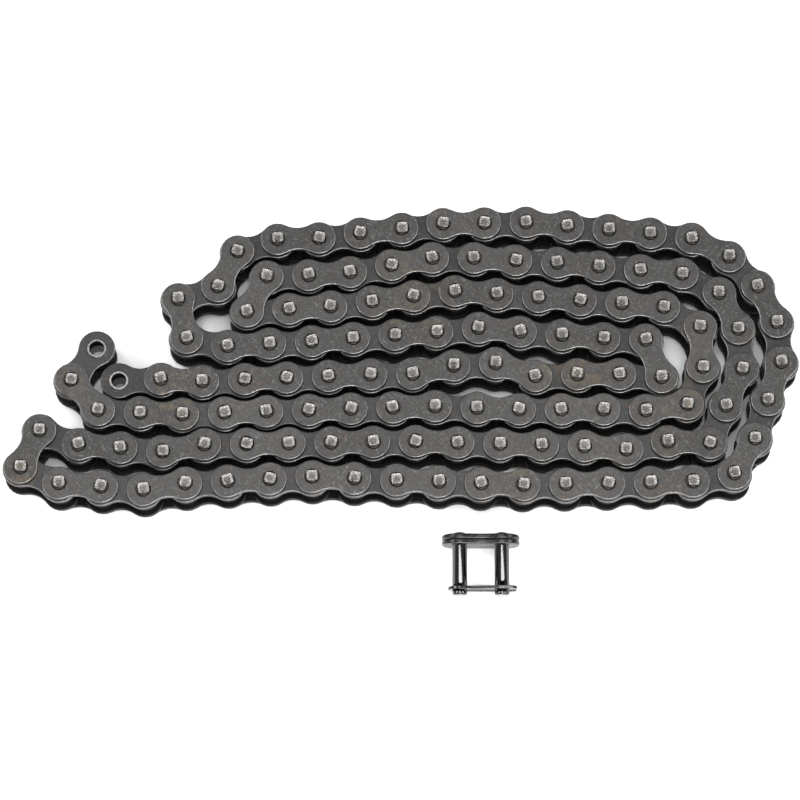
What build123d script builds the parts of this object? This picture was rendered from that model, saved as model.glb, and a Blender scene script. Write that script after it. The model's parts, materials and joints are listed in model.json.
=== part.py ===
from build123d import *
import math
import os

# A 12.7 mm pitch motorcycle drive chain of 126 links, laid up in eight nested rows on a flat
# surface, with its connecting link lying on edge in front. Millimetres, +Z up, the surface at Z = 0
# and the origin in the middle of the footprint. The laid links have their pins upright. Joint 0 and
# joint 125 are the open bushes at the two ends, and joints 1 to 124 are the riveted pins.

# Chain
PITCH = 12.7
PLATE_THICKNESS = 1.5
INNER_WIDTH = 7.94        # between the two inner plates of a link
INNER_PLATE_RADIUS = 5.6
INNER_PLATE_WAIST = 3.8   # half the plate's height midway between its holes
OUTER_PLATE_RADIUS = 5.15
OUTER_PLATE_WAIST = 3.5
OVER_OUTER_PLATES = 14.3
PLATE_EDGE_ROUND = 0.3
PRESS_FIT_GAP = 0.01      # pressed pieces are drawn this far apart, so that they stay separate solids

# Pins, bushes and rollers
PIN_RADIUS = 2.225
PIN_LENGTH = 16.6
PIN_HEAD_RADIUS = 2.32    # riveting spreads the ends a little
PIN_HEAD_CHAMFER = 0.3
BUSH_RADIUS = 3.0
BUSH_BORE_RADIUS = 2.275
BUSH_LENGTH = 11.14
ROLLER_RADIUS = 4.255
ROLLER_BORE_RADIUS = 3.075
ROLLER_LENGTH = 7.7
ROLLER_EDGE_ROUND = 0.25

# Connecting link, measured along its pins from the outside of the fixed plate
LINK_PLATE_RADIUS = 5.4
LINK_PLATE_WAIST = 4.4
LINK_PIN_HEAD = 1.1       # riveted head behind the fixed plate, from a press-fit gap behind it
LINK_PIN_REACH = 18.15    # plain end in front of the fixed plate's outside
LINK_PIN_CHAMFER = 0.4
COVER_PLATE_START = 1.65  # the loose cover plate is parked against the fixed one
COVER_PLATE_BORE_RADIUS = 2.27
CLIP_START = 15.65
CLIP_THICKNESS = 0.95
GROOVE_START = 15.6
GROOVE_WIDTH = 1.05
GROOVE_RADIUS = 1.65
CLIP_BORE_RADIUS = 1.72   # closed end and the gap between the legs, round the pin grooves
CLIP_END_RADIUS = 3.6
CLIP_LEG_REACH = 4.4      # leg tips beyond the second pin
CLIP_LEG_HALF_HEIGHT = 4.3
CLIP_NECK_HALF_HEIGHT = 3.1
CLIP_TIP_SLOPE = 1.2       # length over which the leg tips narrow again
CLIP_SHOULDER_BACK = 1.0   # the legs reach full height this far short of the second pin
LINK_PLACE = (24.4, -51.45)  # middle of the link, and the foot of the fixed plate's outer face

# Where the chain lies: (joint, x, y). Each row is a few points with straight runs between them.
ROUTE = [
    # from the first open end to the right, and back to the left behind it
    (0, -84.6, -6.3), (1, -72, -5.5), (2, -59.5, -6), (4, -34, -5), (7, 4, -3.5), (8, 16, -1.5), (9, 29, -1),
    (10, 41, -4), (12, 66, -4), (13, 78.5, -5.5),
    (14, 74, 6.5), (18, 24, 10.5), (22, -26.5, 6.5), (24, -52, 5), (25, -64.5, 7.5), (26, -67, 20),
    # the back row and the outside of the right end
    (27, -55.5, 24), (28, -49.5, 35), (29, -37, 39), (30, -24.5, 39.5), (33, 13, 44), (35, 38.5, 44.5),
    (38, 76.5, 41), (39, 89, 39.5), (40, 100.5, 33.5), (41, 109, 24), (42, 114.5, 12.5), (43, 115.5, 0),
    (44, 111, -12), (45, 107, -24), (46, 101, -35), (47, 88, -37.5),
    # the front row to the left, and the row behind it to the right
    (51, 37, -38.5), (54, -1, -37), (56, -26.5, -36), (59, -64, -38), (60, -77, -40), (62, -102, -38),
    (63, -114, -33), (64, -108.5, -21.5), (65, -96.5, -26), (67, -71, -28), (68, -58.5, -26),
    (73, 4.5, -25), (77, 55.5, -26.5), (78, 68, -27.5), (79, 80.5, -25), (80, 93.5, -25.5),
    # up inside the right end, left, and right again
    (81, 98.5, -13.5), (82, 103.5, -2.5), (83, 102.5, 10.5), (84, 97, 22), (85, 86, 28), (88, 48, 31.5),
    (90, 22.5, 33), (91, 10, 33), (93, -15, 28.5), (94, -27.5, 27.5), (95, -40.5, 27), (96, -46.5, 16),
    (98, -21, 17.5), (101, 17, 22.5), (106, 80, 17.5),
    # down inside the right end and left to the second open end
    (107, 91.5, 11.5), (108, 92, -1.5), (109, 86.5, -13), (110, 74, -15), (113, 36, -15), (115, 10.5, -14),
    (120, -52.5, -16), (121, -65.5, -16.5), (122, -78, -16), (123, -91, -14.5), (124, -99.5, -5.5),
    (125, -91.8, 4.7),
]
ROW_GAP = 0.15            # least gap between inner plates that aren't neighbours in the chain
SETTLE_ROUNDS = 600

# The moving ends, and the rollers that turn on their own
END_1_JOINTS = (0, 1)
END_2_OUTER_JOINTS = (123, 124)
END_2_INNER_JOINTS = (124, 125)
FREE_ROLLER_JOINTS = range(33, 65)  # the outside strand: back right, right end, front row, left tip

MID_HEIGHT = PIN_LENGTH / 2
OUTER_PLATE_INSIDE = OVER_OUTER_PLATES / 2 - PLATE_THICKNESS
INNER_PLATE_INSIDE = INNER_WIDTH / 2


def spread(route):
    """Joint positions on straight lines between the points of the route."""
    points = []
    for (first, x0, y0), (last, x1, y1) in zip(route, route[1:]):
        for joint in range(first, last):
            share = (joint - first) / (last - first)
            points.append([x0 + share * (x1 - x0), y0 + share * (y1 - y0)])
    points.append(list(route[-1][1:]))
    return points


def move_apart(a, b, wanted):
    """Moves two points along the line between them until they are the wanted distance apart."""
    dx = b[0] - a[0]
    dy = b[1] - a[1]
    distance = math.hypot(dx, dy)
    half = 0.5 * (wanted - distance) / distance
    a[0] -= half * dx
    a[1] -= half * dy
    b[0] += half * dx
    b[1] += half * dy


def settle(points):
    """Every link takes the pitch, and rows that are too close lie side by side."""
    least = 2 * INNER_PLATE_RADIUS + ROW_GAP
    pairs = [(a, b) for i, a in enumerate(points) for b in points[i + 2:] if math.dist(a, b) < 2 * least]
    for _ in range(SETTLE_ROUNDS):
        for a, b in pairs:
            if math.dist(a, b) < least:
                move_apart(a, b, least)
        for a, b in zip(points, points[1:]):
            move_apart(a, b, PITCH)
    return points


def plate(radius, waist, bore):
    """A figure-of-eight plate, centred between its holes, its lower face at Z = 0."""
    half = PITCH / 2
    hollow = (half**2 + waist**2 - radius**2) / (2 * (radius - waist))
    share = radius / (radius + hollow)
    x = half * (1 - share)
    y = (waist + hollow) * share
    outline = Wire([
        ThreePointArc((x, y), (half + radius, 0), (x, -y)),
        ThreePointArc((x, -y), (0, -waist), (-x, -y)),
        ThreePointArc((-x, -y), (-half - radius, 0), (-x, y)),
        ThreePointArc((-x, y), (0, waist), (x, y)),
    ])
    blank = extrude(Face(outline), PLATE_THICKNESS, dir=(0, 0, 1))
    rims = blank.edges().group_by(Axis.Z)
    blank = fillet(rims[0] + rims[-1], PLATE_EDGE_ROUND)
    for side in (-half, half):
        blank -= Pos(side, 0, PLATE_THICKNESS / 2) * Cylinder(bore, 2 * PLATE_THICKNESS)
    return blank.solid()


def tube(radius, bore, length, edge_round=0.0):
    """A tube about the Z axis, centred on Z = 0."""
    body = Cylinder(radius, length)
    if edge_round:
        rims = body.edges().filter_by(GeomType.CIRCLE)
        body = fillet(rims, edge_round)
    return (body - Cylinder(bore, 2 * length)).solid()


def riveted_pin():
    """A pin with both ends spread over the outer plates, centred on Z = 0."""
    head = (PIN_LENGTH - OVER_OUTER_PLATES) / 2 - PRESS_FIT_GAP
    body = Cylinder(PIN_RADIUS, OVER_OUTER_PLATES + 2 * PRESS_FIT_GAP)
    for side in (-1, 1):
        cap = Cylinder(PIN_HEAD_RADIUS, head)
        cap = chamfer(cap.edges().sort_by(Axis.Z)[-1 if side > 0 else 0], PIN_HEAD_CHAMFER)
        body += Pos(0, 0, side * (PIN_LENGTH - head) / 2) * cap
    return body.solid()


def spring_clip():
    """The clip in the XY plane: a ring round the left pin and two legs past the right one."""
    half = PITCH / 2
    tip = half + CLIP_LEG_REACH
    neck = -half + CLIP_END_RADIUS
    shoulder = half - CLIP_SHOULDER_BACK
    outline = Polyline(
        (-half, CLIP_END_RADIUS), (neck, CLIP_NECK_HALF_HEIGHT), (shoulder, CLIP_LEG_HALF_HEIGHT),
        (tip - CLIP_TIP_SLOPE, CLIP_LEG_HALF_HEIGHT), (tip, CLIP_NECK_HALF_HEIGHT),
        (tip, -CLIP_NECK_HALF_HEIGHT), (tip - CLIP_TIP_SLOPE, -CLIP_LEG_HALF_HEIGHT),
        (shoulder, -CLIP_LEG_HALF_HEIGHT), (neck, -CLIP_NECK_HALF_HEIGHT), (-half, -CLIP_END_RADIUS),
    )
    closed_end = ThreePointArc((-half, -CLIP_END_RADIUS), (-half - CLIP_END_RADIUS, 0), (-half, CLIP_END_RADIUS))
    body = extrude(Face(Wire([*outline.edges(), closed_end])), CLIP_THICKNESS, dir=(0, 0, 1))
    middle = CLIP_THICKNESS / 2
    body -= Pos(-half, 0, middle) * Cylinder(CLIP_BORE_RADIUS, 2 * CLIP_THICKNESS)
    slot_length = 2 * (tip + half)
    body -= Pos(-half + slot_length / 2, 0, middle) * Box(slot_length, 2 * CLIP_BORE_RADIUS, 2 * CLIP_THICKNESS)
    return body.solid()


def connecting_pin():
    """A pin along +Z from the fixed plate's outside at Z = 0, riveted behind and grooved in front."""
    shank_length = LINK_PIN_REACH + PRESS_FIT_GAP
    shank = Pos(0, 0, LINK_PIN_REACH - shank_length / 2) * Cylinder(PIN_RADIUS, shank_length)
    shank = chamfer(shank.edges().sort_by(Axis.Z)[-1], LINK_PIN_CHAMFER)
    head = Pos(0, 0, -PRESS_FIT_GAP - LINK_PIN_HEAD / 2) * Cylinder(PIN_HEAD_RADIUS, LINK_PIN_HEAD)
    head = fillet(head.edges().sort_by(Axis.Z)[0], LINK_PIN_HEAD / 2)
    groove_middle = Pos(0, 0, GROOVE_START + GROOVE_WIDTH / 2)
    groove = groove_middle * (Cylinder(2 * PIN_RADIUS, GROOVE_WIDTH) - Cylinder(GROOVE_RADIUS, GROOVE_WIDTH))
    return (shank + head - groove).solid()


def link_pose():
    """Stands the connecting link on edge, pins forward, resting on the cover plate and the clip."""
    cover_front = COVER_PLATE_START + PLATE_THICKNESS
    clip_front = CLIP_START + CLIP_THICKNESS
    lean = math.atan2(LINK_PLATE_RADIUS - CLIP_LEG_HALF_HEIGHT, clip_front - cover_front)
    axis_height = LINK_PLATE_RADIUS * math.cos(lean) + cover_front * math.sin(lean)
    x, y = LINK_PLACE
    return Location((x, y - LINK_PLATE_RADIUS * math.sin(lean), axis_height), (90 + math.degrees(lean), 0, 0))


def at_joint(joint, shape, height=MID_HEIGHT):
    x, y = joints[joint]
    return shape.moved(Location((x, y, height)))


def at_link(first, shape, height):
    (x0, y0), (x1, y1) = joints[first], joints[first + 1]
    turn = math.degrees(math.atan2(y1 - y0, x1 - x0))
    return shape.moved(Location(((x0 + x1) / 2, (y0 + y1) / 2, height), (0, 0, turn)))


joints = settle(spread(ROUTE))

inner_plate = plate(INNER_PLATE_RADIUS, INNER_PLATE_WAIST, BUSH_RADIUS + PRESS_FIT_GAP)
outer_plate = plate(OUTER_PLATE_RADIUS, OUTER_PLATE_WAIST, PIN_RADIUS + PRESS_FIT_GAP)
fixed_plate = plate(LINK_PLATE_RADIUS, LINK_PLATE_WAIST, PIN_RADIUS + PRESS_FIT_GAP)
cover_plate = plate(LINK_PLATE_RADIUS, LINK_PLATE_WAIST, COVER_PLATE_BORE_RADIUS)
pin = riveted_pin()
bush = tube(BUSH_RADIUS, BUSH_BORE_RADIUS, BUSH_LENGTH)
roller = tube(ROLLER_RADIUS, ROLLER_BORE_RADIUS, ROLLER_LENGTH, ROLLER_EDGE_ROUND)

inner_upper = MID_HEIGHT + INNER_PLATE_INSIDE
inner_lower = MID_HEIGHT - INNER_PLATE_INSIDE - PLATE_THICKNESS
outer_upper = MID_HEIGHT + OUTER_PLATE_INSIDE
outer_lower = MID_HEIGHT - OUTER_PLATE_INSIDE - PLATE_THICKNESS

nodes = {}

# The laid chain: everything but the two moving ends
laid_outer_links = range(1, END_2_OUTER_JOINTS[0], 2)
laid_inner_links = range(2, END_2_OUTER_JOINTS[0], 2)
laid_pins = range(1, END_2_OUTER_JOINTS[0])
laid_bushes = range(2, END_2_INNER_JOINTS[0])
nodes["outer_plates_upper"] = [at_link(i, outer_plate, outer_upper) for i in laid_outer_links]
nodes["outer_plates_lower"] = [at_link(i, outer_plate, outer_lower) for i in laid_outer_links]
nodes["inner_plates_upper"] = [at_link(i, inner_plate, inner_upper) for i in laid_inner_links]
nodes["inner_plates_lower"] = [at_link(i, inner_plate, inner_lower) for i in laid_inner_links]
nodes["riveted_pins"] = [at_joint(i, pin) for i in laid_pins]
nodes["bushes"] = [at_joint(i, bush) for i in laid_bushes]
nodes["laid_rollers"] = [at_joint(i, roller) for i in laid_bushes if i not in FREE_ROLLER_JOINTS]
for i in FREE_ROLLER_JOINTS:
    nodes[f"roller_{i:03d}"] = [at_joint(i, roller)]

# The two end links with open bushes, and the outer link that carries the second one
for name, (open_joint, pinned_joint) in {
    "end_1": END_1_JOINTS,
    "end_2": END_2_INNER_JOINTS[::-1],
}.items():
    first = min(open_joint, pinned_joint)
    nodes[f"{name}_inner_plate_upper"] = [at_link(first, inner_plate, inner_upper)]
    nodes[f"{name}_inner_plate_lower"] = [at_link(first, inner_plate, inner_lower)]
    nodes[f"{name}_open_bush"] = [at_joint(open_joint, bush)]
    nodes[f"{name}_pinned_bush"] = [at_joint(pinned_joint, bush)]
    nodes[f"{name}_open_roller"] = [at_joint(open_joint, roller)]
    nodes[f"{name}_pinned_roller"] = [at_joint(pinned_joint, roller)]
nodes["end_2_outer_plate_upper"] = [at_link(END_2_OUTER_JOINTS[0], outer_plate, outer_upper)]
nodes["end_2_outer_plate_lower"] = [at_link(END_2_OUTER_JOINTS[0], outer_plate, outer_lower)]
nodes["end_2_outer_pins"] = [at_joint(i, pin) for i in END_2_OUTER_JOINTS]

# The connecting link
pose = link_pose()
pin_places = {"left": Pos(-PITCH / 2, 0, 0), "right": Pos(PITCH / 2, 0, 0)}
nodes["connecting_fixed_plate"] = [pose * fixed_plate]
for side, place in pin_places.items():
    nodes[f"connecting_pin_{side}"] = [pose * place * connecting_pin()]
nodes["connecting_cover_plate"] = [pose * Pos(0, 0, COVER_PLATE_START) * cover_plate]
nodes["connecting_spring_clip"] = [pose * Pos(0, 0, CLIP_START) * spring_clip()]

# The origin goes to the middle of the footprint
box = Compound([solid for solids in nodes.values() for solid in solids]).bounding_box()
shift = Location((-box.center().X, -box.center().Y, 0))

os.makedirs("parts", exist_ok=True)
for name, solids in nodes.items():
    moved = [solid.moved(shift) for solid in solids]
    export_step(moved[0] if len(moved) == 1 else Compound(moved), f"parts/{name}.step")
print(f"{len(nodes)} nodes, {sum(len(s) for s in nodes.values())} solids, box {box.size}, lowest {box.min.Z:.4f}")
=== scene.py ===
# %% [markdown]
# # A motorcycle drive chain, laid up in rows
#
# The chain is five simple pieces repeated: outer plates, inner plates, pins, bushes and rollers.
# The frame already holds every one of them in its right place. This lesson makes one good model of
# each piece, stamps it wherever the frame has one, and gives each kind its own steel.

# %% The frame and the tools
import json
import math
import random

import bmesh
import bpy
from mathutils import Matrix, Vector

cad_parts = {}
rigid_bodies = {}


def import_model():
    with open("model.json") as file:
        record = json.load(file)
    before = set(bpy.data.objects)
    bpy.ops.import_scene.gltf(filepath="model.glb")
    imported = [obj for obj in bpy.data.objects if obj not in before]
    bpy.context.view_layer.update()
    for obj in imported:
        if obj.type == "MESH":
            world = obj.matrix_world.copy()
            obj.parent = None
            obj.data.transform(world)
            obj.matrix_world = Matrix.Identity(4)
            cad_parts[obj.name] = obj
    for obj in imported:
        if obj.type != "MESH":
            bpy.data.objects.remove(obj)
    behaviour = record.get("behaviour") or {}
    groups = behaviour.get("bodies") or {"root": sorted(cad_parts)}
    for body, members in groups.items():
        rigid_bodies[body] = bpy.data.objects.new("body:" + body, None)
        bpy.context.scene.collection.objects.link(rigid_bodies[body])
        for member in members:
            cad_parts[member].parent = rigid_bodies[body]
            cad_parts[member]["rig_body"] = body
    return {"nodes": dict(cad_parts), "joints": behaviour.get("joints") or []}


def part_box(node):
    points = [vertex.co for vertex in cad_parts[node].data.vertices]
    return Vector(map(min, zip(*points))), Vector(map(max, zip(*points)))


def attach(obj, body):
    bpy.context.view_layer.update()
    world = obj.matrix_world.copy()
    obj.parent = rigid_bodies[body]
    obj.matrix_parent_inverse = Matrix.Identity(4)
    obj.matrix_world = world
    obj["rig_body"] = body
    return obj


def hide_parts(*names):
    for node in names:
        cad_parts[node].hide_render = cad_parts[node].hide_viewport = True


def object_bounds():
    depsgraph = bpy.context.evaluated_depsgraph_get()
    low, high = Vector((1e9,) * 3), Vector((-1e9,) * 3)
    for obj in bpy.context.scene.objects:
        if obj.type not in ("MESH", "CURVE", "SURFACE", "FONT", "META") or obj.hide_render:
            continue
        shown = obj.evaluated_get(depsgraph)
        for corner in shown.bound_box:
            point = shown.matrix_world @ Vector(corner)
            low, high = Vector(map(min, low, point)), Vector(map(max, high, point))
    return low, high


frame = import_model()
cad_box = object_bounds()
MM = 0.001
SEED = 428
random.seed(SEED)
print("CAD box in mm:", [tuple(round(v / MM, 1) for v in corner) for corner in cad_box])

# %% [markdown]
# ## Where the pieces stand
#
# A node such as the upper outer plates is many separate solids in one mesh of loose triangles. A
# welded copy tells them apart: corners that are joined by edges belong to one solid. The middle of
# a solid's box is the middle of the piece, because the pieces of a chain are symmetric.

# %% Reading the solids of a node
WELD = 0.002 * MM


def welded_copy(node):
    """A CAD node's mesh as a bmesh, with its loose triangles joined at their corners."""
    work = bmesh.new()
    work.from_mesh(frame["nodes"][node].data)
    bmesh.ops.remove_doubles(work, verts=work.verts[:], dist=WELD)
    return work


def separate_solids(work):
    """Yields the corners of one solid after another."""
    seen = set()
    for first in work.verts:
        if first in seen:
            continue
        seen.add(first)
        corners = [first]
        for vert in corners:  # the list grows while it is walked
            others = [edge.other_vert(vert) for edge in vert.link_edges]
            fresh = [other for other in others if other not in seen]
            seen.update(fresh)
            corners.extend(fresh)
        yield corners


def solid_middles(node):
    """The middle of each separate solid in a CAD node."""
    work = welded_copy(node)
    middles = []
    for corners in separate_solids(work):
        low = Vector(min(vert.co[i] for vert in corners) for i in range(3))
        high = Vector(max(vert.co[i] for vert in corners) for i in range(3))
        middles.append((low + high) / 2)
    work.free()
    return middles


def box_middle(node):
    """The middle of a CAD node's box, for a node that holds one solid."""
    low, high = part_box(node)
    return (low + high) / 2


pin_joints = solid_middles("riveted_pins") + solid_middles("end_2_outer_pins")
chain_joints = pin_joints + [box_middle("end_1_open_bush"), box_middle("end_2_open_bush")]
print(len(pin_joints), "riveted pins and", len(chain_joints), "joints in all")

# %% [markdown]
# A plate reaches from one joint to the next, so its own two joints are each half a pitch from its
# middle. The line through them gives its direction. Pins, bushes and rollers are round. They need a
# place but no direction, so each is turned by chance, as they are in a real chain.

# %% Places for plates and for round pieces
PITCH = 12.7 * MM


def plate_joints(middle):
    """The two joints whose distance from a plate's middle comes nearest to half a pitch."""

    def miss(joint):
        return abs(math.hypot(joint.x - middle.x, joint.y - middle.y) - PITCH / 2)

    return sorted(chain_joints, key=miss)[:2]


def plate_places(node):
    """One matrix per plate of a node: its middle, turned along its two joints."""
    places = []
    for middle in solid_middles(node):
        first, second = plate_joints(middle)
        along = second - first
        turn = math.atan2(along.y, along.x)
        places.append(Matrix.Translation(middle) @ Matrix.Rotation(turn, 4, "Z"))
    return places


def round_places(node, swing=math.pi):
    """One matrix per round piece of a node, each turned by chance about its own axis."""
    return [
        Matrix.Translation(middle) @ Matrix.Rotation(random.uniform(-swing, swing), 4, "Z")
        for middle in solid_middles(node)
    ]


# %% [markdown]
# ## Stamping one model many times
#
# A model is made once, as a small mesh about the origin. Stamping copies it to every place into one
# new mesh. Each copy carries two numbers for the materials. The first is 1 on the edges that rub
# bright, and -1 in the corners and hollows, which the materials paint black as shade. `tone` is a
# different value for each copy, because no two plates come out of the blackening bath quite the same.

# %% The stamp
BRIGHT = 1.0
PLAIN = 0.0
# -1 stands for painted shade, which the materials darken to black.
SHADED = -1.0


def stamp(models, places, node, material):
    """Copies one of the models to each place, and lets the copies stand for the CAD node."""
    work = bmesh.new()
    work.verts.layers.float.new("wear_and_shade")
    tone = work.verts.layers.float.new("tone")
    for place in places:
        first = len(work.verts)
        work.from_mesh(random.choice(models))
        work.verts.ensure_lookup_table()
        fresh = work.verts[first:]
        shade = random.random()
        for vert in fresh:
            vert[tone] = shade
        bmesh.ops.transform(work, matrix=place, verts=fresh)
    mesh = bpy.data.meshes.new(f"{node}_looks")
    work.to_mesh(mesh)
    work.free()
    piece = bpy.data.objects.new(f"{node}_looks", mesh)
    bpy.context.scene.collection.objects.link(piece)
    mesh.materials.append(material)
    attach(piece, frame["nodes"][node]["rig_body"])
    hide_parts(node)
    return piece


# %% [markdown]
# Every model is finished in the same three steps. Its sharp edges are rounded with a bevel, because
# a perfectly sharp edge never catches the light. How worn it is, and where painted shade darkens it,
# is written down vertex by vertex. Then it becomes a mesh whose faces point outwards. The flats stay
# flat, and only what is round is smoothed.

# %% Finishing a model
MERGE = 0.0005 * MM
UPRIGHT = 0.99


def round_off(work, edges, size, segments):
    """Rounds edges with a bevel."""
    bmesh.ops.bevel(
        work, geom=edges, offset=size, offset_type="OFFSET", segments=segments, profile=0.5,
        affect="EDGES", material=-1, clamp_overlap=True,
    )


def mark_wear_and_shade(work, wear_and_shade_at):
    """Writes down how worn each vertex is, or how darkened with painted shade, and smooths all faces
    but the flats.
    """
    wear_and_shade = work.verts.layers.float.new("wear_and_shade")
    work.verts.layers.float.new("tone")
    for vert in work.verts:
        vert[wear_and_shade] = wear_and_shade_at(vert.co)
    bmesh.ops.recalc_face_normals(work, faces=work.faces[:])
    for face in work.faces:
        face.smooth = abs(face.normal.z) < UPRIGHT


def finished_mesh(work, name):
    """Turns a bmesh into a mesh with its faces pointing outwards."""
    bmesh.ops.remove_doubles(work, verts=work.verts[:], dist=MERGE)
    bmesh.ops.recalc_face_normals(work, faces=work.faces[:])
    mesh = bpy.data.meshes.new(name)
    work.to_mesh(mesh)
    work.free()
    print(name, "has", len(mesh.polygons), "faces")
    return mesh


# %% [markdown]
# ## A plate
#
# A chain plate is stamped from strip: two round ends joined by a waist. Its outline is four arcs.
# Spinning a single vertex about a centre draws an arc, so four spins draw the whole outline. The
# hollow sides have to run smoothly into the round ends, and that fixes their radius.

# %% Drawing the outline with spins
END_STEPS = 16
WAIST_STEPS = 6


def draw_arc(work, vert, centre, angle, steps):
    """Spins one vertex about a centre and returns the last vertex of the arc."""
    made = bmesh.ops.spin(
        work, geom=[vert], cent=centre, axis=(0, 0, 1), angle=angle, steps=steps, use_merge=False
    )
    return next(item for item in made["geom_last"] if isinstance(item, bmesh.types.BMVert))


def plate_outline(work, radius, waist):
    """Two round ends and two hollow sides, starting where the right end meets the upper side."""
    half = PITCH / 2
    hollow = (half**2 + waist**2 - radius**2) / (2 * (radius - waist))
    share = radius / (radius + hollow)
    x = half * (1 - share)
    y = (waist + hollow) * share
    end_angle = 2 * math.atan2(y, x - half)
    side_angle = 2 * math.atan2(x, waist + hollow - y)
    vert = work.verts.new((x, y, 0))
    vert = draw_arc(work, vert, (half, 0, 0), -end_angle, END_STEPS)
    vert = draw_arc(work, vert, (0, -waist - hollow, 0), side_angle, WAIST_STEPS)
    vert = draw_arc(work, vert, (-half, 0, 0), -end_angle, END_STEPS)
    draw_arc(work, vert, (0, waist + hollow, 0), side_angle, WAIST_STEPS)


# %% [markdown]
# The two holes are circles. The sheet is filled between the outline and the holes, and then made
# solid. A barrel of tumbling stones has rounded the outer rims of the real plates, and the mouths
# of their holes a little. The rounded rims are where a plate rubs bright, and the mouths of the
# holes, round the pins, are darkened to black as painted shade.

# %% The plate
PLATE_THICKNESS = 1.5 * MM
EDGE_ROUND = 0.34 * MM
HOLE_ROUND = 0.14 * MM
HOLE_STEPS = 18
CLOSE_UP = 0.001 * MM
TOUCH = 0.02 * MM
NEAR_HOLE = 0.2 * MM
SHARP = 1.0  # radians


def from_hole_centre(co):
    """The distance of a point from the axis of the nearer hole."""
    return math.hypot(abs(co.x) - PITCH / 2, co.y)


def sharp_rims(work, bore):
    """The sharp edges of both flats: first those of the outline, then those of the holes."""
    rims, mouths = [], []
    for edge in work.edges:
        one, other = edge.verts
        through = abs(one.co.z - other.co.z) > TOUCH
        if through or edge.calc_face_angle(0) < SHARP:
            continue
        on_hole = abs(from_hole_centre((one.co + other.co) / 2) - bore) < NEAR_HOLE
        (mouths if on_hole else rims).append(edge)
    return rims, mouths


def plate_wear_and_shade(co, bore):
    """Bright half way round the rounded rim, painted shade in the mouths of the holes."""
    if from_hole_centre(co) < bore + TOUCH:
        # The mouths of the holes get painted shade.
        return SHADED
    below = PLATE_THICKNESS / 2 - abs(co.z)
    return BRIGHT if TOUCH < below < EDGE_ROUND * 0.9 else PLAIN


def plate_model(name, radius, waist, bore):
    """A figure-of-eight plate, centred on the origin, with rounded rims and slightly opened holes."""
    work = bmesh.new()
    plate_outline(work, radius, waist)
    for side in (-1, 1):
        centre = Matrix.Translation((side * PITCH / 2, 0, 0))
        bmesh.ops.create_circle(work, segments=HOLE_STEPS, radius=bore, matrix=centre)
    bmesh.ops.remove_doubles(work, verts=work.verts[:], dist=CLOSE_UP)
    bmesh.ops.triangle_fill(work, edges=work.edges[:], use_beauty=True, normal=(0, 0, 1))
    bmesh.ops.solidify(work, geom=work.faces[:], thickness=PLATE_THICKNESS)
    middle = sum(vert.co.z for vert in work.verts) / len(work.verts)
    bmesh.ops.translate(work, verts=work.verts[:], vec=(0, 0, -middle))
    rims, mouths = sharp_rims(work, bore)
    round_off(work, rims, EDGE_ROUND, 2)
    round_off(work, [edge for edge in mouths if edge.is_valid], HOLE_ROUND, 1)
    mark_wear_and_shade(work, lambda co: plate_wear_and_shade(co, bore))
    return finished_mesh(work, name)


PIN_RADIUS = 2.225 * MM
BUSH_SEAT = 3.01 * MM
outer_model = plate_model("outer_plate_model", radius=5.15 * MM, waist=3.5 * MM, bore=PIN_RADIUS)
inner_model = plate_model("inner_plate_model", radius=5.6 * MM, waist=3.8 * MM, bore=BUSH_SEAT)
link_model = plate_model("link_plate_model", radius=5.4 * MM, waist=4.4 * MM, bore=PIN_RADIUS)

# %% [markdown]
# ## Round pieces
#
# Pins, bushes and rollers are turned parts. A half section, drawn as a few points and spun once
# round the axis, makes each of them, just as a lathe would. Both ends of these pieces are alike, so
# only the upper half of the section is drawn, and the lower half is its mirror image.

# %% Turning a half section
TUBE_STEPS = 20
CORNER_SHARE = 0.3
RIM_SHARE = 0.6
HALF_SHADED = -0.5


def turned(section, steps, closed):
    """Spins a half section of (radius, height) points about the Z axis."""
    work = bmesh.new()
    verts = [work.verts.new((r, 0, z)) for r, z in section]
    pairs = list(zip(verts, verts[1:])) + ([(verts[-1], verts[0])] if closed else [])
    edges = [work.edges.new(pair) for pair in pairs]
    bmesh.ops.spin(
        work, geom=verts + edges, cent=(0, 0, 0), axis=(0, 0, 1), angle=math.tau, steps=steps,
        use_merge=True,
    )
    bmesh.ops.remove_doubles(work, verts=work.verts[:], dist=MERGE)
    return work


def both_halves(upper):
    """A half section that is the same above and below the middle."""
    return upper + [(r, -z) for r, z in reversed(upper)]


def tube_model(name, radius, bore, length, edge):
    """A tube with rounded outer corners and a bright rim at each end."""
    top = length / 2
    corner = CORNER_SHARE * edge
    upper = [
        (bore, top - edge / 2), (bore + edge / 2, top), (radius - edge, top),
        (radius - corner, top - corner), (radius, top - edge),
    ]
    work = turned(both_halves(upper), TUBE_STEPS, closed=True)
    # Between the bright rims the tube is half darkened, as painted shade between the plates.
    mark_wear_and_shade(work, lambda co: BRIGHT if abs(co.z) > top - RIM_SHARE * edge else HALF_SHADED)
    return finished_mesh(work, name)


bush_model = tube_model(
    "bush_model", radius=3.0 * MM, bore=2.275 * MM, length=11.14 * MM, edge=0.16 * MM
)
roller_model = tube_model(
    "roller_model", radius=4.255 * MM, bore=3.075 * MM, length=7.7 * MM, edge=0.25 * MM
)

# %% [markdown]
# ### The riveted pin
#
# The pins are hard steel, and their ends are spread by a tool with four jaws. It leaves a square
# table in the middle of the round head, with a bright raised edge and four flanks, which are painted
# dark as shade. The head is turned first. The rings of the table are then pulled out to a square, and
# held in where they would leave the head. The tool never strikes quite centrally, so a few heads are
# made with the table shifted in different directions.

# %% Pulling the table out to a square
HEAD_RADIUS = 2.32 * MM
PIN_HALF = 8.3 * MM
TABLE_HALF = 1.62 * MM
TABLE_CORNER = 2.02 * MM
TABLE_DISH = 0.1 * MM
TABLE_DEPTH = 0.5 * MM
TABLE_MIDDLE = 1.2 * MM
HEAD_RIM = 0.06 * MM


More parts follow.
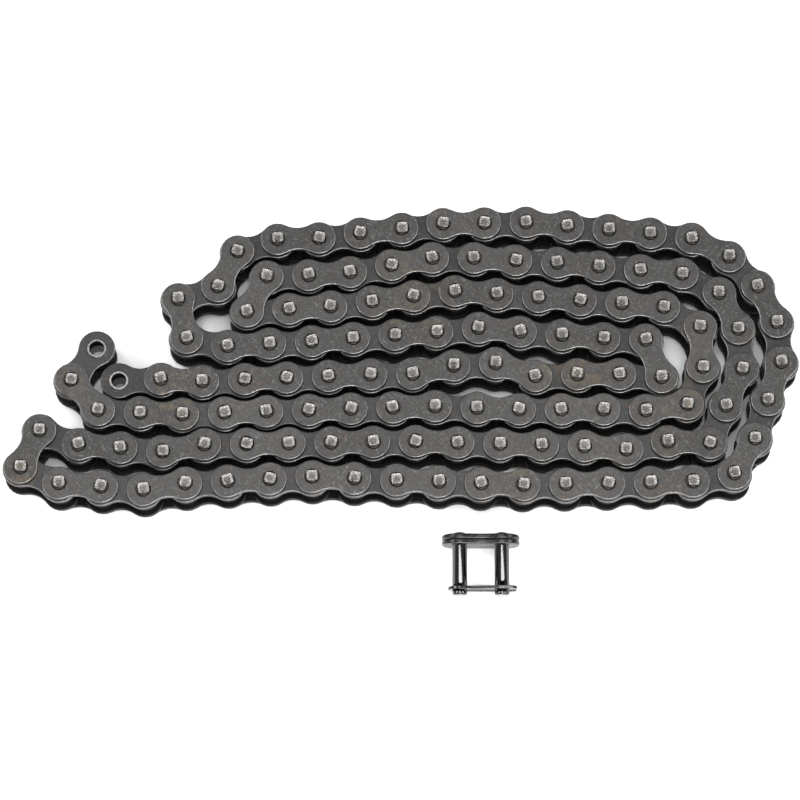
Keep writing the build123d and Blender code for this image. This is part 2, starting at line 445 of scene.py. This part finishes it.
def square_out(work, offset):
    """Pulls the rings of the table out to a square with clipped corners, a little off centre."""
    for vert in work.verts:
        reach = math.hypot(vert.co.x, vert.co.y)
        if abs(vert.co.z) < PIN_HALF - TABLE_DEPTH or reach < TABLE_MIDDLE:
            continue
        to_corner = reach / max(abs(vert.co.x), abs(vert.co.y))
        stretch = min(to_corner, (TABLE_CORNER + reach - TABLE_HALF) / reach)
        vert.co.x = vert.co.x * stretch + offset[0]
        vert.co.y = vert.co.y * stretch + offset[1]
        too_far = math.hypot(vert.co.x, vert.co.y) / (HEAD_RADIUS - HEAD_RIM)
        if too_far > 1:
            vert.co.x /= too_far
            vert.co.y /= too_far


# %% [markdown]
# The half section below runs from the dished middle of the table over its raised edge, down the
# flank to the round shoulder of the head, and in to the pin where it leaves the outer plate.

# %% The pin and its staked heads
OUTER_FACE = 7.15 * MM
PIN_STEPS = 16
DISH_RADIUS = 1.3 * MM
SHOULDER = 0.65 * MM
RUBBED = 0.3
TABLE_SHIFTS_MM = ((0.12, 0.1), (-0.1, 0.14), (0.2, -0.04), (0, 0), (0.1, 0.2))


def pin_wear_and_shade(co):
    """The table's edge is bright; its flanks and the groove round the head are painted dark as shade.
    """
    if abs(co.z) > PIN_HALF - TABLE_DISH:
        return BRIGHT if math.hypot(co.x, co.y) > DISH_RADIUS else RUBBED
    return SHADED


def pin_model(offset):
    """A pin with a staked head at both ends."""
    upper = [
        (0, PIN_HALF - TABLE_DISH),
        (0.8 * MM, PIN_HALF - 0.09 * MM),
        (TABLE_HALF - 0.22 * MM, PIN_HALF - 0.04 * MM),
        (TABLE_HALF, PIN_HALF),
        (TABLE_HALF + 0.12 * MM, PIN_HALF - 0.35 * MM),
        (HEAD_RADIUS - 0.1 * MM, PIN_HALF - 0.6 * MM),
        (HEAD_RADIUS, PIN_HALF - 0.75 * MM),
        (HEAD_RADIUS, OUTER_FACE + 0.1 * MM),
        (PIN_RADIUS, OUTER_FACE),
    ]
    work = turned(both_halves(upper), PIN_STEPS, closed=False)
    square_out(work, offset)
    mark_wear_and_shade(work, pin_wear_and_shade)
    for face in work.faces:
        face.smooth = abs(face.calc_center_median().z) < PIN_HALF - SHOULDER
    return finished_mesh(work, "pin_model")


pins = [pin_model((x * MM, y * MM)) for x, y in TABLE_SHIFTS_MM]

# %% [markdown]
# ## Shader maths as plain expressions
#
# Materials are easier to read when `noise * 0.4 + 0.2` means just that. `Value` wraps a socket, and
# each operator adds the Math node that it stands for. Every other node comes from `add_node`.


# %% A wrapped socket
class Value:
    """A number or colour that varies over the surface."""

    def __init__(self, tree, socket):
        self.tree = tree
        self.socket = socket

    def __add__(self, other):
        return math_node(self.tree, "ADD", self, other)

    def __sub__(self, other):
        return math_node(self.tree, "SUBTRACT", self, other)

    def __rsub__(self, other):
        return math_node(self.tree, "SUBTRACT", other, self)

    def __mul__(self, other):
        return math_node(self.tree, "MULTIPLY", self, other)

    __radd__ = __add__
    __rmul__ = __mul__

    def at_most(self, other):
        return math_node(self.tree, "MINIMUM", self, other)

    def at_least(self, other):
        return math_node(self.tree, "MAXIMUM", self, other)

    def between(self, low, high):
        """0 below low, 1 above high, and smooth between."""
        settings = {"interpolation_type": "SMOOTHSTEP"}
        inputs = {"Value": self, "From Min": low, "From Max": high}
        return add_node(self.tree, "ShaderNodeMapRange", settings, inputs)[0]


# %% [markdown]
# `add_node` first sets a node up, then fills or links its sockets, and gives back its outputs. Two
# short helpers cover what the steels need most: maths on two numbers, and a mix of two colours.

# %% Adding nodes
def add_node(tree, kind, settings=(), inputs=()):
    """Adds a node, sets it up, fills or links its sockets, and returns its outputs as values."""
    made = tree.nodes.new(kind)
    for name, setting in dict(settings).items():
        setattr(made, name, setting)
    for name, given in dict(inputs).items():
        socket = made.inputs[name]
        if isinstance(given, Value):
            tree.links.new(given.socket, socket)
        else:
            socket.default_value = given
    return [Value(tree, output) for output in made.outputs if output.enabled]


def math_node(tree, operation, one, other):
    """A number worked out from two others."""
    return add_node(tree, "ShaderNodeMath", {"operation": operation}, {0: one, 1: other})[0]


def mixed(tree, share, one, other):
    """A colour between two colours."""
    settings = {"data_type": "RGBA", "clamp_factor": True}
    return add_node(tree, "ShaderNodeMix", settings, {0: share, 6: one, 7: other})[0]


def grey(level, warmth=0.0):
    """A grey, warmer or cooler by a share of its level."""
    return (level * (1 + warmth), level, level * (1 - warmth), 1)


# %% [markdown]
# ## Steels
#
# All the steels share one set of marks. Small noises give fine grain and pale pits, and stretched
# noise gives light scratches in two directions. Two noises multiplied, a slow one and a quick one,
# leave a thin oil film in some places and a few touches of rust in others. A noise's scale is the
# number of its blobs in a metre, so 2300 gives grain of about 0.4 mm.

# %% The marks that all steels share
OBJECT_OUTPUT = 3  # where each output stands in its node's list, counted from 0
HEIGHT_OUTPUT = 2
NUMBER_OUTPUT = 2
SCRATCH = (1, 7, 1)
# Painted shade: below the first height the steel is painted black as shade, and above the second it is
# not.
SHADE_FULL_BELOW = 10.5 * MM
SHADE_NONE_ABOVE = 12.6 * MM


def attribute(tree, name):
    """A number that the models carry on their vertices."""
    return add_node(tree, "ShaderNodeAttribute", {"attribute_name": name})[NUMBER_OUTPUT]


def steel_marks(tree):
    """The patterns of a used steel surface, each from 0 to 1."""
    where = add_node(tree, "ShaderNodeTexCoord")[OBJECT_OUTPUT]
    height = add_node(tree, "ShaderNodeSeparateXYZ", (), {"Vector": where})[HEIGHT_OUTPUT]

    def noise(scale, detail=3.0, stretch=(1, 1, 1), turn=0.0):
        inputs = {"Vector": where, "Scale": stretch, "Rotation": (0, 0, turn)}
        spot = add_node(tree, "ShaderNodeMapping", {"vector_type": "TEXTURE"}, inputs)[0]
        look = {"Vector": spot, "Scale": scale, "Detail": detail}
        return add_node(tree, "ShaderNodeTexNoise", (), look)[0]

    fine = noise(2300.0, detail=2.0)
    scratches = noise(3400.0, 1.0, SCRATCH, turn=0.8).between(0.62, 0.72)
    cross_scratches = noise(3000.0, 1.0, SCRATCH, turn=-0.6).between(0.64, 0.74)
    return {
        "fine": fine,
        "grain": fine.between(0.3, 0.7),
        "clouds": noise(260.0).between(0.3, 0.7),
        "pits": noise(1400.0).between(0.6, 0.7),
        "strokes": scratches + cross_scratches,
        "film": noise(38.0, 2.0).between(0.55, 0.75) * noise(420.0).between(0.45, 0.65),
        "rust": noise(120.0, 2.0).between(0.55, 0.68) * noise(1500.0, 2.0).between(0.62, 0.7),
        # Painted shade towards the bottom of the chain.
        "low_down": 1 - height.between(SHADE_FULL_BELOW, SHADE_NONE_ABOVE),
    }


# %% [markdown]
# The colour is laid on in coats, each mixed over the last: the mottled steel itself, pale pits and
# scratches, brown oil, rust, bright worn edges, and last black painted shade in the corners and
# hollows. The steel is also painted black as shade towards the bottom, below the upper plates.

# %% The colour of a steel
# The black of the painted shade.
SHADE_BLACK = (0.012, 0.011, 0.01, 1)
OIL_BROWN = (0.16, 0.11, 0.05, 1)
RUST = (0.3, 0.12, 0.035, 1)
WORN_WARMTH = 0.02


def steel_colour(tree, marks, edge, colour, warmth, worn_colour, mottle, specks, oil, low_shade):
    """The coats of colour, from bare steel to black painted shade."""
    wear_and_shade = attribute(tree, "wear_and_shade")
    tone = attribute(tree, "tone")
    shade = (marks["grain"] * 0.5 + marks["clouds"] * 0.2 + tone * 0.3).at_most(1.0)
    dark, pale = grey(colour * (1 - mottle), warmth), grey(colour * (1 + mottle), warmth)
    base = mixed(tree, shade, dark, pale)
    scuffs = (marks["pits"] * 0.55 + marks["strokes"] * 0.4) * specks
    base = mixed(tree, scuffs, base, grey(colour * 3.0, WORN_WARMTH))
    base = mixed(tree, marks["film"] * oil, base, OIL_BROWN)
    base = mixed(tree, marks["rust"] * (oil * 1.5), base, RUST)
    base = mixed(tree, edge, base, grey(worn_colour, WORN_WARMTH))
    # Painted shade: black in the corners and hollows, and towards the bottom of the chain.
    corner_shade = (wear_and_shade * -1).between(0.05, 0.9) * 0.85
    return mixed(tree, (marks["low_down"] * low_shade).at_least(corner_shade), base, SHADE_BLACK)


# %% [markdown]
# One recipe makes every steel. What differs is its colour and warmth, its gloss, and how strong each
# effect is: `mottle` is how uneven its grey is, `specks` how scuffed, `oil` how oily, `metal` how
# much of it shines as bare metal, and `bump` how rough its surface feels.

# %% The steel recipe
def steel(
    name, colour, warmth, worn_colour, rough, worn_rough, mottle, specks, oil, metal, bump,
    # The next argument sets the strength of the painted shade towards the bottom.
    low_shade=0.9, depth=0.06 * MM,
):
    """A steel that varies over its surface: grained, speckled, scratched, oiled, worn on its edges."""
    material = bpy.data.materials.new(name)
    material.use_nodes = True
    tree = material.node_tree
    shader = tree.nodes["Principled BSDF"]
    marks = steel_marks(tree)
    grain, clouds, strokes = marks["grain"], marks["clouds"], marks["strokes"]
    edge = attribute(tree, "wear_and_shade").between(0.1, 0.9) * (0.35 + grain * 0.65)

    base = steel_colour(tree, marks, edge, colour, warmth, worn_colour, mottle, specks, oil, low_shade)
    tree.links.new(base.socket, shader.inputs["Base Color"])

    gloss = (rough - 0.08) + grain * 0.1 + clouds * 0.06 - strokes * 0.06
    gloss = gloss * (1 - edge) + edge * worn_rough
    tree.links.new(gloss.socket, shader.inputs["Roughness"])
    shader.inputs["Metallic"].default_value = metal

    relief = marks["fine"] * 0.6 + clouds * 0.25 - marks["pits"] * 0.3 - strokes * 0.2
    inputs = {"Strength": bump, "Distance": depth, "Height": relief}
    normal = add_node(tree, "ShaderNodeBump", (), inputs)[0]
    tree.links.new(normal.socket, shader.inputs["Normal"])
    print(name, "has", len(tree.nodes), "nodes")
    return material


# %% [markdown]
# The plates are blackened, the outer ones a little warmer and paler than the inner ones. The pins
# are paler still, with a coarse surface that the riveting tool has left. Bushes and rollers are dark.

# %% The steels of the strand
outer_steel = steel(
    "outer_plate_steel", colour=0.04, warmth=0.03, worn_colour=0.3, rough=0.42, worn_rough=0.22,
    mottle=0.42, specks=0.9, oil=0.2, metal=0.85, bump=0.5,
)
inner_steel = steel(
    "inner_plate_steel", colour=0.029, warmth=-0.02, worn_colour=0.24, rough=0.4, worn_rough=0.25,
    mottle=0.42, specks=0.7, oil=0.16, metal=0.85, bump=0.45,
)
pin_steel = steel(
    "riveted_pin_steel", colour=0.06, warmth=0.08, worn_colour=0.26, rough=0.34, worn_rough=0.24,
    mottle=0.75, specks=0.9, oil=0.3, metal=0.95, bump=1.0, depth=0.2 * MM,
)
bush_steel = steel(
    "bush_steel", colour=0.03, warmth=0.03, worn_colour=0.15, rough=0.3, worn_rough=0.2,
    mottle=0.3, specks=0.3, oil=0.3, metal=0.95, bump=0.2,
)
roller_steel = steel(
    "roller_steel", colour=0.022, warmth=0.0, worn_colour=0.1, rough=0.35, worn_rough=0.25,
    mottle=0.25, specks=0.3, oil=0.3, metal=0.8, bump=0.15,
)

# %% [markdown]
# The connecting link lies on edge, so it is not painted darker towards the bottom. Its plates are
# dark and speckled, its pins are polished, and its clip is smooth blackened spring steel.

# %% The steels of the connecting link
link_steel = steel(
    "connecting_plate_steel", colour=0.023, warmth=0.015, worn_colour=0.2, rough=0.3, worn_rough=0.18,
    mottle=0.6, specks=1.2, oil=0.1, metal=0.9, bump=0.8, low_shade=0.0,
)
bright_steel = steel(
    "polished_pin_steel", colour=0.07, warmth=0.01, worn_colour=0.08, rough=0.1, worn_rough=0.1,
    mottle=0.2, specks=0.2, oil=0.05, metal=1.0, bump=0.08, low_shade=0.0,
)
clip_steel = steel(
    "clip_steel", colour=0.016, warmth=-0.02, worn_colour=0.06, rough=0.26, worn_rough=0.18,
    mottle=0.3, specks=0.5, oil=0.1, metal=0.95, bump=0.15, low_shade=0.0,
)

# %% [markdown]
# ## Stamping the chain
#
# Every node's name says what it holds, so the name picks the model and the steel. The nodes are
# taken in alphabetical order, which makes the chances fall the same way each time. The pins are
# turned only a little, because the riveting tool strikes them all nearly the same way round.

# %% The laid strand and its ends
PIN_SWING = 0.3

for name in sorted(frame["nodes"]):
    if name.startswith("connecting_"):
        continue
    if "outer_plate" in name:
        stamp([outer_model], plate_places(name), name, outer_steel)
    elif "inner_plate" in name:
        stamp([inner_model], plate_places(name), name, inner_steel)
    elif "pins" in name:
        stamp(pins, round_places(name, swing=PIN_SWING), name, pin_steel)
    elif "bush" in name:
        stamp([bush_model], round_places(name), name, bush_steel)
    else:
        stamp([roller_model], round_places(name), name, roller_steel)

# %% [markdown]
# ## The connecting link
#
# The connecting link lies on edge. The frame gives the direction of its pins, as the axis along
# which the cover plate slides, and the middle of each plate. A matrix with that axis as its third
# column stands a model up the right way.

# %% The plates of the connecting link
slide = next(joint for joint in frame["joints"] if joint["name"] == "cover_plate_slide")
pin_way = Vector(slide["axis"]).normalized()
along_link = Vector((1, 0, 0))
stand = Matrix((along_link, pin_way.cross(along_link), pin_way)).transposed().to_4x4()

for name in ("connecting_fixed_plate", "connecting_cover_plate"):
    place = Matrix.Translation(box_middle(name)) @ stand
    stamp([link_model], [place], name, link_steel)
print("link plates lean by", round(math.degrees(math.asin(-pin_way.z)), 2), "degrees")

# %% [markdown]
# The two pins are ground and polished. Behind the fixed plate each ends in a domed rivet. Near the
# front end a narrow groove holds the spring clip, and the end itself is rounded so that it finds its
# way through the bush and the cover plate. The pin's length and the groove's start are measured from
# the back of the fixed plate, and the model's origin is the middle of that plate.

# %% The pins of the connecting link
PIN_LENGTH = 18.15 * MM
GROOVE_START = 15.6 * MM
GROOVE_WIDTH = 1.05 * MM
GROOVE_RADIUS = 1.65 * MM
LINK_PIN_STEPS = 40
RIVET_MM = ((0, 1.1), (1.1, 1.02), (1.85, 0.72), (2.25, 0.35), (2.32, 0))


def connecting_pin_model():
    """A polished pin with a domed rivet behind and a clip groove in front."""
    back = -PLATE_THICKNESS / 2
    front = back + PIN_LENGTH
    groove = back + GROOVE_START
    groove_end = groove + GROOVE_WIDTH
    rivet = [(radius * MM, back - behind * MM) for radius, behind in RIVET_MM]
    clip_groove = [
        (PIN_RADIUS, groove - 0.04 * MM), (2.18 * MM, groove), (GROOVE_RADIUS, groove),
        (GROOVE_RADIUS, groove_end), (2.12 * MM, groove_end), (PIN_RADIUS, groove_end + 0.08 * MM),
    ]
    tip = [(PIN_RADIUS, front - 0.45 * MM), (2.1 * MM, front - 0.2 * MM), (1.8 * MM, front), (0, front)]
    section = rivet + [(PIN_RADIUS, back + 0.05 * MM)] + clip_groove + tip
    work = turned(section, LINK_PIN_STEPS, closed=False)
    shown = (back - 0.2 * MM, groove + 0.5 * MM)
    mark_wear_and_shade(work, lambda co: PLAIN if shown[0] <= co.z <= shown[1] else BRIGHT)
    return finished_mesh(work, "connecting_pin_model")


link_pin = connecting_pin_model()
for side, name in ((-1, "connecting_pin_left"), (1, "connecting_pin_right")):
    seat = box_middle("connecting_fixed_plate") + side * PITCH / 2 * along_link
    stamp([link_pin], [Matrix.Translation(seat) @ stand], name, bright_steel)

# %% [markdown]
# The spring clip's shape is already right in the frame, but its edges are perfectly sharp, and a
# stamped clip is tumbled until they are not. A merged copy of it gets a small bevel on every sharp
# edge, which also gives the light a line to catch. Every corner that the bevel made is worn bright.

# %% The spring clip
CLIP_ROUND = 0.13 * MM
CLIP_SHARP = math.radians(50)
SAME_PLANE = math.radians(2)
LARGE_FACE = (0.5 * MM) ** 2


def clip_model():
    """The frame's clip with rounded edges."""
    work = welded_copy("connecting_spring_clip")
    bmesh.ops.dissolve_limit(work, angle_limit=SAME_PLANE, verts=work.verts[:], edges=work.edges[:])
    sharp = [edge for edge in work.edges if edge.calc_face_angle(0) > CLIP_SHARP]
    before = {tuple(vert.co) for vert in work.verts}
    round_off(work, sharp, CLIP_ROUND, 2)
    mark_wear_and_shade(work, lambda co: PLAIN if tuple(co) in before else BRIGHT)
    for face in work.faces:
        face.smooth = face.calc_area() < LARGE_FACE
    return finished_mesh(work, "clip_model")


stamp([clip_model()], [Matrix.Identity(4)], "connecting_spring_clip", clip_steel)

# %% [markdown]
# ## Floor
#
# The chain lies on a plain white surface, large enough that its edge never comes into view.

# %% The floor
FLOOR_HALF = 3.0
FLOOR_WHITE = (0.93, 0.93, 0.93, 1)

floor_mesh = bpy.data.meshes.new("floor")
floor_work = bmesh.new()
bmesh.ops.create_grid(floor_work, x_segments=1, y_segments=1, size=FLOOR_HALF)
floor_work.to_mesh(floor_mesh)
floor_work.free()
floor = bpy.data.objects.new("floor", floor_mesh)
bpy.context.scene.collection.objects.link(floor)
floor_paint = bpy.data.materials.new("plain_white_floor")
floor_paint.use_nodes = True
floor_shader = floor_paint.node_tree.nodes["Principled BSDF"]
floor_shader.inputs["Base Color"].default_value = FLOOR_WHITE
floor_shader.inputs["Roughness"].default_value = 0.9
floor_mesh.materials.append(floor_paint)
print("floor:", 2 * FLOOR_HALF, "m wide")

# %% [markdown]
# ## Light
#
# Four large soft lights hang around the chain, with dark gaps between them. The flat plates catch an
# even grey from the one overhead, the rims that face the front catch a thin bright line, and the
# polished pins show a bright stripe. The world adds a little even light from all round.

# %% The lights
WORLD_STRENGTH = 0.3


def soft_light(name, place, width, depth, power):
    """A rectangular area light that looks at the middle of the chain."""
    light = bpy.data.lights.new(name, "AREA")
    light.shape = "RECTANGLE"
    light.size = width
    light.size_y = depth
    light.energy = power
    lamp = bpy.data.objects.new(name, light)
    lamp.location = place
    lamp.rotation_euler = (-Vector(place)).to_track_quat("-Z", "Y").to_euler()
    bpy.context.scene.collection.objects.link(lamp)


soft_light("overhead_softbox", (0.0, -0.03, 1.15), width=0.5, depth=0.9, power=9.0)
soft_light("left_softbox", (-0.8, 0.12, 0.75), width=1.1, depth=0.4, power=11.0)
soft_light("right_softbox", (0.85, 0.12, 0.65), width=1.1, depth=0.35, power=10.0)
soft_light("front_softbox", (0.25, -0.8, 0.8), width=1.0, depth=0.4, power=14.0)
world = bpy.data.worlds.new("studio")
bpy.context.scene.world = world
world.use_nodes = True
background = world.node_tree.nodes["Background"]
background.inputs["Color"].default_value = (1, 1, 1, 1)
background.inputs["Strength"].default_value = WORLD_STRENGTH
bpy.context.scene.view_settings.view_transform = "Standard"
print("lights:", [light.name for light in bpy.data.lights])

# %% [markdown]
# ## The camera
#
# The camera looks down at the rows from in front, nearly from above, through a long lens. A long lens
# keeps the rows at the back almost as large as the ones in front.

# %% The camera
ELEVATION = math.radians(73.8)
LENS = 182.0
SENSOR = 36.0
DISTANCE = 1.2185
AIM_X = -0.67 * MM
AIM_Y = -2.48 * MM

chain_top = cad_box[1].z
aim = Vector((AIM_X, AIM_Y, chain_top))
towards_camera = Vector((0, -math.cos(ELEVATION), math.sin(ELEVATION)))
camera = bpy.data.cameras.new("camera")
camera.lens = LENS
camera.sensor_width = SENSOR
eye = bpy.data.objects.new("camera", camera)
eye.location = aim + towards_camera * DISTANCE
eye.rotation_euler = (-towards_camera).to_track_quat("-Z", "Y").to_euler()
bpy.context.scene.collection.objects.link(eye)
bpy.context.scene.camera = eye
print("view:", round(math.degrees(camera.angle), 1), "degrees wide")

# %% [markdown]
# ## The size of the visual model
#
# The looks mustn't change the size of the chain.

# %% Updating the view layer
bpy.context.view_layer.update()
